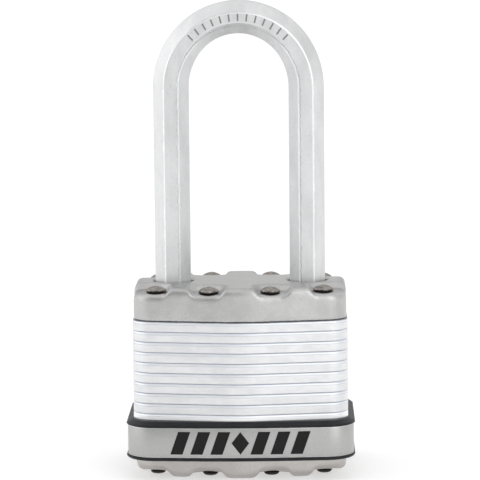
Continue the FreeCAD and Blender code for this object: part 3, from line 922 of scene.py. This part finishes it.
@dataclass
class Studio:
    """White room with soft light, a pale floor and the camera."""

    distance: float = 0.557
    height: float = 0.1165
    azimuth: float = 1.11
    roll: float = -0.55
    aim: float = 0.04785
    lens: float = 201.7
    floor_size: float = 40.0
    floor_tone: float = 0.55
    floor_glow: float = 0.50
    walls: tuple[tuple[float, float], ...] = (
        (-180, 1.00), (-165, 0.65), (-150, 0.80), (-120, 1.15), (-90, 1.45), (-60, 1.15),
        (-40, 0.70), (-20, 0.46), (-5, 0.48), (8, 1.00), (20, 1.50), (38, 1.85), (48, 2.30),
        (57, 1.15), (70, 0.85), (90, 0.82), (108, 0.88), (125, 0.95), (150, 0.85), (165, 0.65),
        (180, 1.00))
    brightest: float = 2.5
    ceiling: float = 1.0
    ceiling_edge: tuple[float, float] = (0.55, 0.95)

    def camera(self) -> None:
        """Place the camera in front, a little above and to the right, looking at the middle."""
        turn = math.radians(self.azimuth)
        low, high = (Vector(corner) for corner in CAD_BOX)
        middle = (low + high) / 2
        place = Vector((middle.x + math.sin(turn) * self.distance,
                        middle.y - math.cos(turn) * self.distance, self.height))
        data = bpy.data.cameras.new("camera")
        data.lens = self.lens
        data.sensor_width = 36.0
        data.clip_start = 0.01
        data.clip_end = 50.0
        eye = bpy.data.objects.new("camera", data)
        look = Vector((middle.x, middle.y, self.aim)) - place
        facing = look.to_track_quat("-Z", "Y").to_matrix().to_4x4()
        roll = Matrix.Rotation(math.radians(self.roll), 4, "Z")
        eye.matrix_world = Matrix.Translation(place) @ facing @ roll
        bpy.context.scene.collection.objects.link(eye)
        bpy.context.scene.camera = eye

    def floor(self) -> None:
        """Lay a wide pale floor at the level the padlock stands on."""
        clear_selection()
        bpy.ops.mesh.primitive_plane_add(size=self.floor_size, location=(0, 0, CAD_BOX[0][2]))
        floor = bpy.context.object
        floor.name = "floor"
        g = Paint("floor_paint")
        g.set(Base_Color=(self.floor_tone, self.floor_tone, self.floor_tone, 1.0), Roughness=0.7,
              Emission_Color=(1.0, 1.0, 1.0, 1.0), Emission_Strength=self.floor_glow)
        coat(floor, g.material)

    def room(self) -> None:
        """Light the scene from a pale room whose walls differ gently round the padlock."""
        world = bpy.data.worlds.new("pale_room")
        bpy.context.scene.world = world
        world.use_nodes = True
        g = Graph(world.node_tree)
        coordinate = g.nodes.new("ShaderNodeTexCoord")
        x, y, z = g.split(coordinate.outputs["Generated"])
        bearing = g.math("ARCTAN2", x, g.product(y, -1.0))
        ramp = g.nodes.new("ShaderNodeFloatCurve")
        curve = ramp.mapping.curves[0]
        marks = [((angle + 180) / 360, value / self.brightest) for angle, value in self.walls]
        curve.points[0].location = marks[0]
        curve.points[-1].location = marks[-1]
        for place, value in marks[1:-1]:
            curve.points.new(place, value)
        ramp.mapping.update()
        g.links.new(g.span(bearing, -math.pi, math.pi, 0.0, 1.0), ramp.inputs["Value"])
        rise = g.span(z, *self.ceiling_edge, 0.0, 1.0)
        wall = g.product(ramp.outputs["Value"], self.brightest)
        strength = g.total(g.product(wall, g.difference(1.0, rise)),
                          g.product(rise, self.ceiling))
        light = g.nodes.new("ShaderNodeBackground")
        light.inputs["Color"].default_value = (1, 1, 1, 1)
        g.links.new(strength, light.inputs["Strength"])
        output = g.nodes.new("ShaderNodeOutputWorld")
        g.links.new(light.outputs["Background"], output.inputs["Surface"])

    def build(self) -> None:
        """Make the whole studio."""
        self.camera()
        self.floor()
        self.room()
        bpy.context.scene.view_settings.view_transform = "Standard"


def main() -> None:
    """Build and dress the padlock piece by piece."""
    logging.basicConfig(level=logging.INFO, format="%(message)s")
    Studio().build()
    LOG.info("studio ready")
    Shackle().dress()
    Laminations().dress()
    LOG.info("shackle and plates dressed")
    PressedCovers().build()
    Rivets().build()
    LOG.info("covers pressed and riveted")
    Bumper().build()
    LOG.info("bumper moulded and banded")
    LockWorks().dress()
    LOG.info("inner pieces dressed")


if __name__ == "__main__":
    main()
